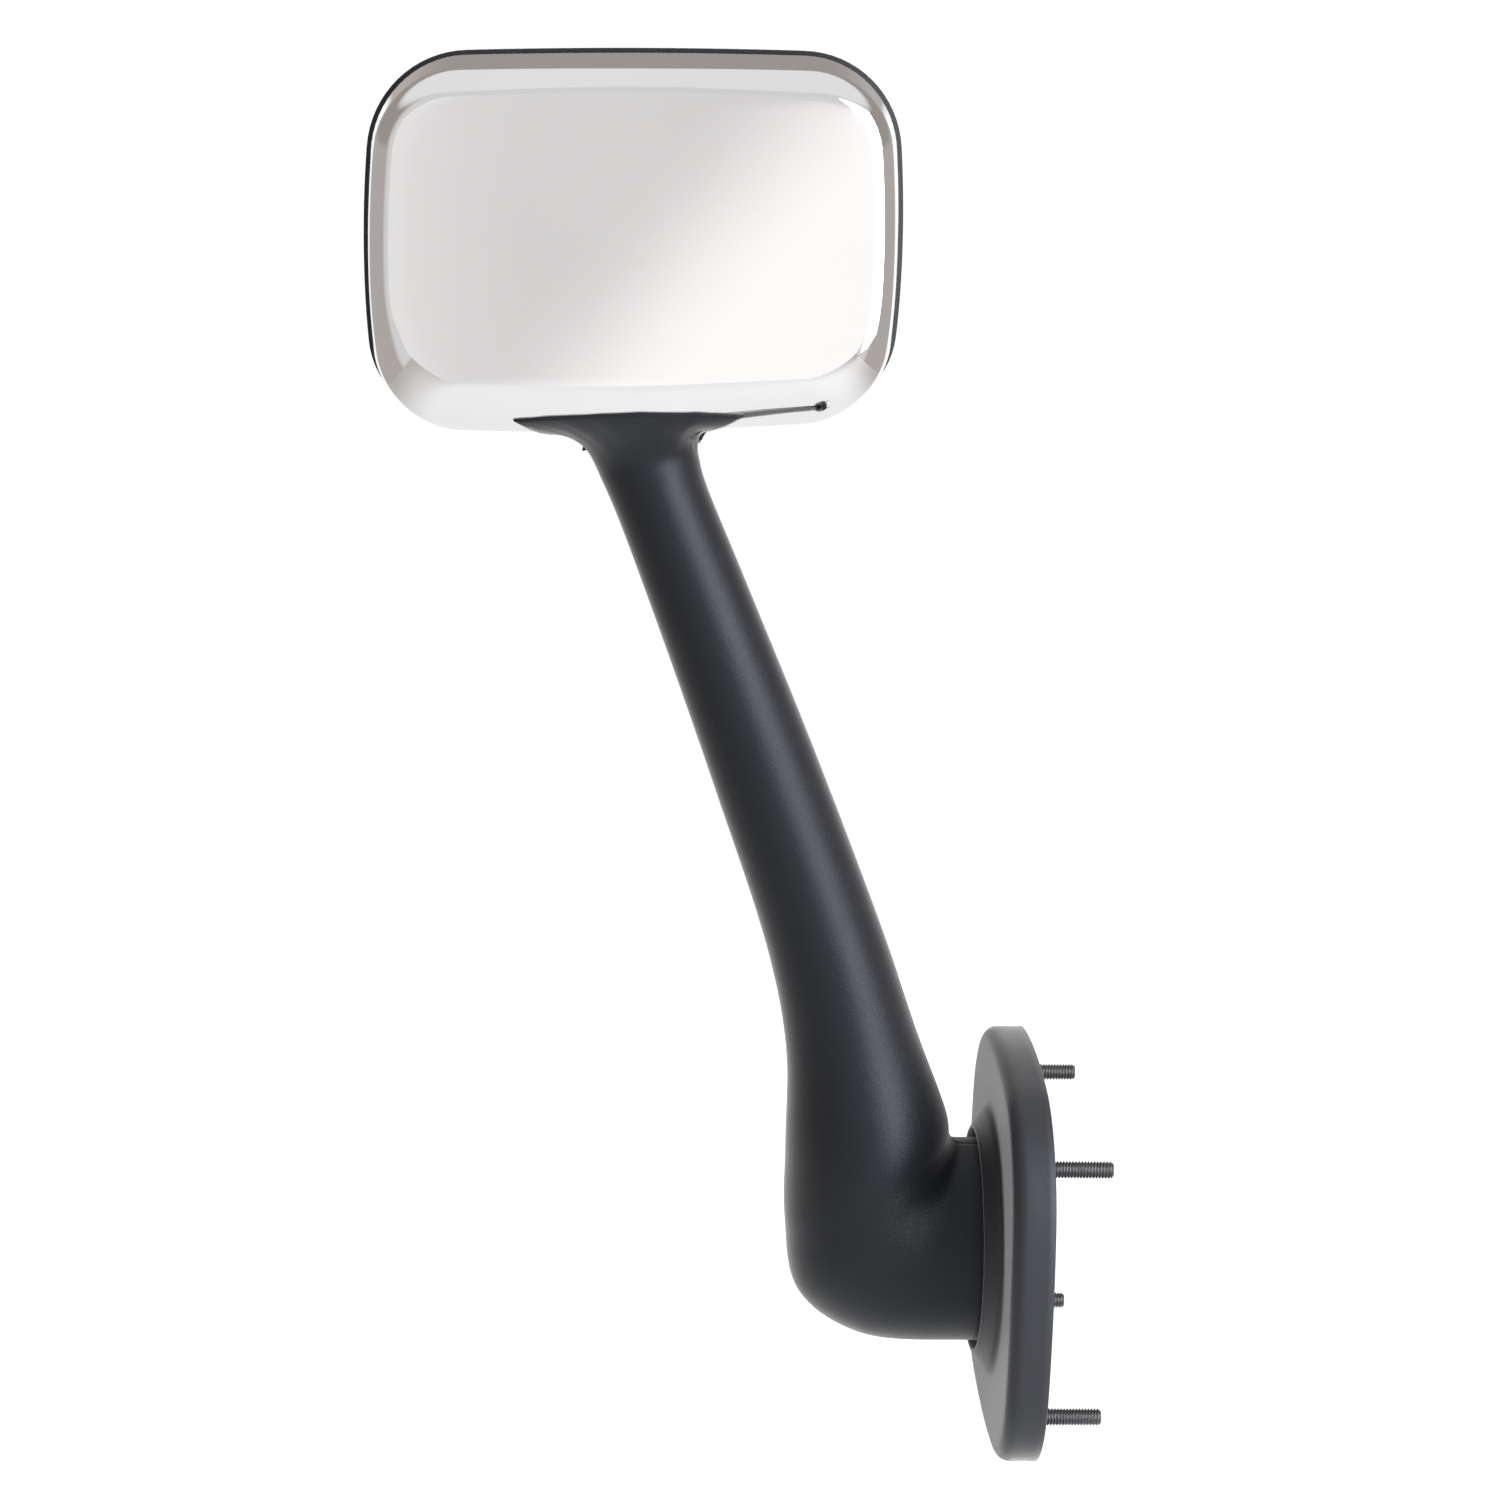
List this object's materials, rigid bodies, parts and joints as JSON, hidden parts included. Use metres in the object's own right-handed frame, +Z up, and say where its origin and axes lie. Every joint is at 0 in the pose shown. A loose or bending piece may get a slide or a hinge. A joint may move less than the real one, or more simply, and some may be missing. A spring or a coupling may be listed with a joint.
{
  "type": "truck hood mirror",
  "caption": "Convex hood mirror for a heavy truck: chrome-backed head on a hollow leaning arm, with a breakaway pivot foot and mounting studs.",
  "frame": {"origin": "centre of the foot's mounting face, at the centre of the four studs", "axes": "+X along the studs into the vehicle, +Z up, +Y towards the driver, which the mirror glass faces"},
  "size_m": [0.3429, 0.193, 0.6466],
  "materials": {
    "foot_plastic": "fine-grained satin black moulding",
    "arm_plastic": "fine-grained satin black moulding",
    "housing_plastic": "satin black moulding",
    "gasket_rubber": "matt closed-cell rubber",
    "cast_plate": "cast, powder-free",
    "cast_hub": "cast and machined",
    "stud_steel": "dark zinc",
    "zinc_steel": "bright zinc",
    "pivot_steel": "turned",
    "spring_steel": "phosphated",
    "tube_steel": "black coating",
    "nylon": "natural nylon",
    "nylon_black": "glass-filled nylon",
    "chrome": "mirror-bright plating",
    "mirror_glass": "convex mirror glass",
    "pad_foam": "foam adhesive",
    "carrier_plastic": "moulded carrier"
  },
  "bodies": {
    "foot": {"base_cover": "foot_plastic", "base_gasket": "gasket_rubber", "mounting_plate": "cast_plate", "mounting_studs": "stud_steel", "cover_screws": "zinc_steel", "pivot_post": "pivot_steel", "post_bolts": "zinc_steel", "friction_washer": "nylon", "spring_seat": "pivot_steel", "disc_springs": "spring_steel", "lock_nut": "zinc_steel"},
    "arm": {"pivot_bush": "nylon", "arm_front_shell": "arm_plastic", "arm_rear_shell": "arm_plastic", "shell_screws": "zinc_steel", "arm_hub": "cast_hub", "arm_tube": "tube_steel", "hub_set_screws": "zinc_steel", "bracket_set_screws": "zinc_steel", "chrome_cover": "chrome", "head_housing": "housing_plastic", "head_bracket": "cast_hub", "housing_screws": "zinc_steel", "adjuster_seat": "nylon_black", "adjuster_screws": "zinc_steel", "tilt_pins": "pivot_steel"},
    "gimbal": {"gimbal_ring": "nylon_black", "pan_pins": "pivot_steel"},
    "glass": {"mirror_glass": "mirror_glass", "glass_pad": "pad_foam", "glass_carrier": "carrier_plastic"}
  },
  "joints": [
    {"name": "arm_swing", "type": "hinge", "parent": "foot", "child": "arm", "pos_m": [0, 0, 0], "axis": [1, 0, 0], "range_deg": [-45, 45]},
    {"name": "glass_tilt", "type": "hinge", "parent": "arm", "child": "gimbal", "pos_m": [-0.19375, 0.02, 0.4656], "axis": [1, 0, 0], "range_deg": [-8, 8]},
    {"name": "glass_pan", "type": "hinge", "parent": "gimbal", "child": "glass", "pos_m": [-0.19375, 0.02, 0.4656], "axis": [0, 0, 1], "range_deg": [-8, 8]}
  ]
}
